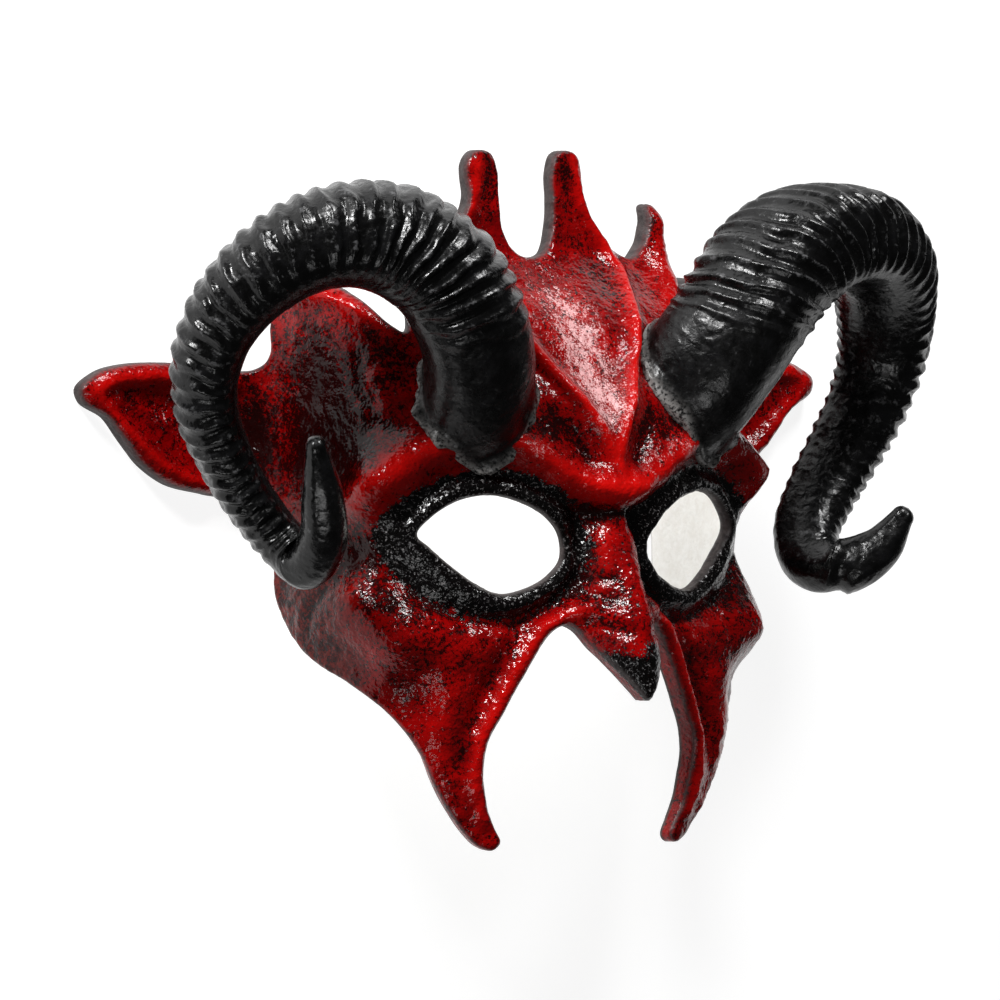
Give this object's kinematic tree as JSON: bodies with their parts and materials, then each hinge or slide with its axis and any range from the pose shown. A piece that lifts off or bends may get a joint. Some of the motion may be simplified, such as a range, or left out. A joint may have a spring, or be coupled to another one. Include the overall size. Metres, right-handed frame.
{
  "type": "venetian devil mask",
  "caption": "Moulded devil half mask in speckled red with ribbed curling ram horns, a beaked nose, pointed ears, crown spikes and long cheek points.",
  "frame": {"origin": "centre of the bounding box at the level the mask lies on, under the rear rim", "axes": "+X towards the viewer's right when facing the mask, +Y up the face towards the crown, +Z out of the face; the mask lies on its back with the face up"},
  "size_m": [0.2583, 0.1888, 0.089],
  "materials": {
    "painted_red_face": "glossy deep red paint over moulded latex, dry-brushed and speckled with black; black round the eyes and on the nose tip; bare dark grey-brown at the cut rims and behind",
    "gloss_black_horn": "glossy black, ribs lightly brushed with dark grey"
  },
  "bodies": {
    "root": {"mask_face": "painted_red_face", "horn_left": "gloss_black_horn", "horn_right": "gloss_black_horn"}
  },
  "joints": []
}
